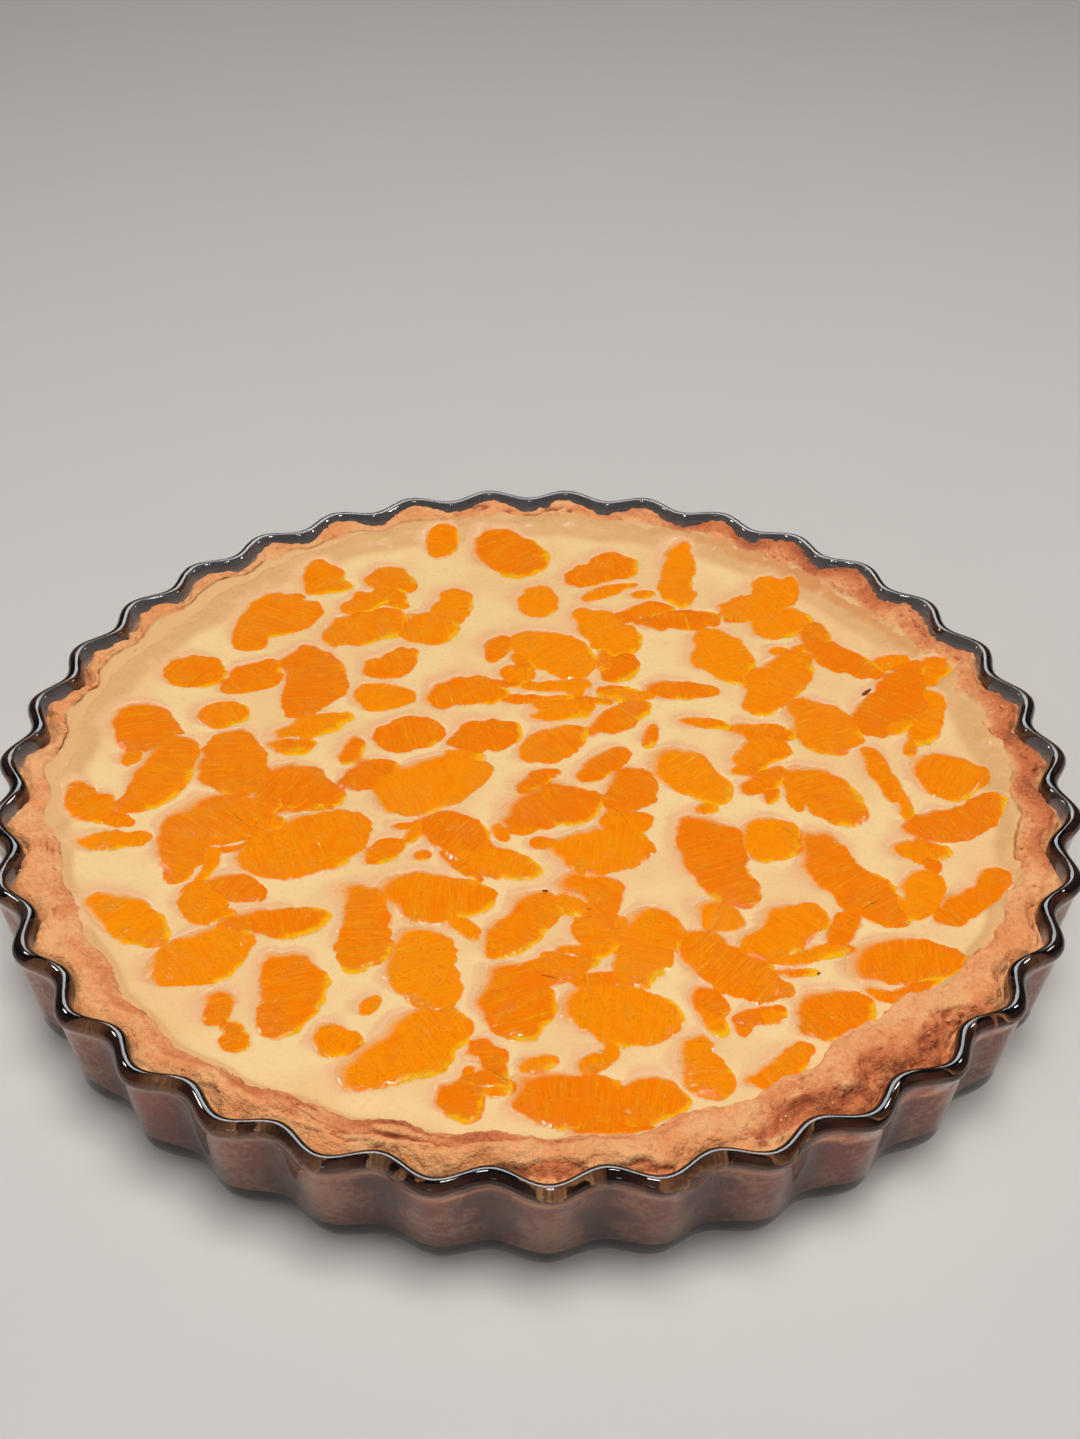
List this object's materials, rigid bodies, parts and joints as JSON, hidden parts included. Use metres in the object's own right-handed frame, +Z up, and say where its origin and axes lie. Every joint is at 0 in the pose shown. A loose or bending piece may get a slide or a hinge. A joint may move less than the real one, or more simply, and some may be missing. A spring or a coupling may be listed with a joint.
{
  "type": "mandarin custard pie in a glass flan dish",
  "caption": "Round uncut custard pie with mandarin segments set in its top and a golden shortcrust shell, baked and served in a shallow fluted clear glass flan dish.",
  "frame": {"origin": "centre of the dish's flat underside, on the dish's axis", "axes": "+Z up along the dish's axis, -Y towards the front of the picture, +X to its right"},
  "size_m": [0.2782, 0.2782, 0.034],
  "materials": {
    "glass": "clear pressed glass, smooth and polished",
    "crust": "baked shortcrust: matt, craggy and crumbly, browned along the rim",
    "custard": "set custard: pale yellow, smooth and slightly moist",
    "mandarin": "wet canned mandarin segment with fine crosswise fibres"
  },
  "bodies": {
    "root": {"dish": "glass", "crust": "crust", "filling": "custard", "mandarin_01": "mandarin", "mandarin_02": "mandarin", "mandarin_03": "mandarin", "mandarin_04": "mandarin", "mandarin_05": "mandarin", "mandarin_06": "mandarin", "mandarin_07": "mandarin", "mandarin_08": "mandarin", "mandarin_09": "mandarin", "mandarin_10": "mandarin", "mandarin_11": "mandarin", "mandarin_12": "mandarin", "mandarin_13": "mandarin", "mandarin_14": "mandarin", "mandarin_15": "mandarin", "mandarin_16": "mandarin", "mandarin_17": "mandarin", "mandarin_18": "mandarin", "mandarin_19": "mandarin", "mandarin_20": "mandarin", "mandarin_21": "mandarin", "mandarin_22": "mandarin", "mandarin_23": "mandarin", "mandarin_24": "mandarin", "mandarin_25": "mandarin", "mandarin_26": "mandarin", "mandarin_27": "mandarin", "mandarin_28": "mandarin", "mandarin_29": "mandarin", "mandarin_30": "mandarin", "mandarin_31": "mandarin", "mandarin_32": "mandarin", "mandarin_33": "mandarin", "mandarin_34": "mandarin", "mandarin_35": "mandarin", "mandarin_36": "mandarin", "mandarin_37": "mandarin", "mandarin_38": "mandarin", "mandarin_39": "mandarin", "mandarin_40": "mandarin", "mandarin_41": "mandarin", "mandarin_42": "mandarin", "mandarin_43": "mandarin", "mandarin_44": "mandarin", "mandarin_45": "mandarin", "mandarin_46": "mandarin", "mandarin_47": "mandarin", "mandarin_48": "mandarin", "mandarin_49": "mandarin", "mandarin_50": "mandarin", "mandarin_51": "mandarin", "mandarin_52": "mandarin", "mandarin_53": "mandarin", "mandarin_54": "mandarin", "mandarin_55": "mandarin", "mandarin_56": "mandarin", "mandarin_57": "mandarin"}
  },
  "joints": []
}
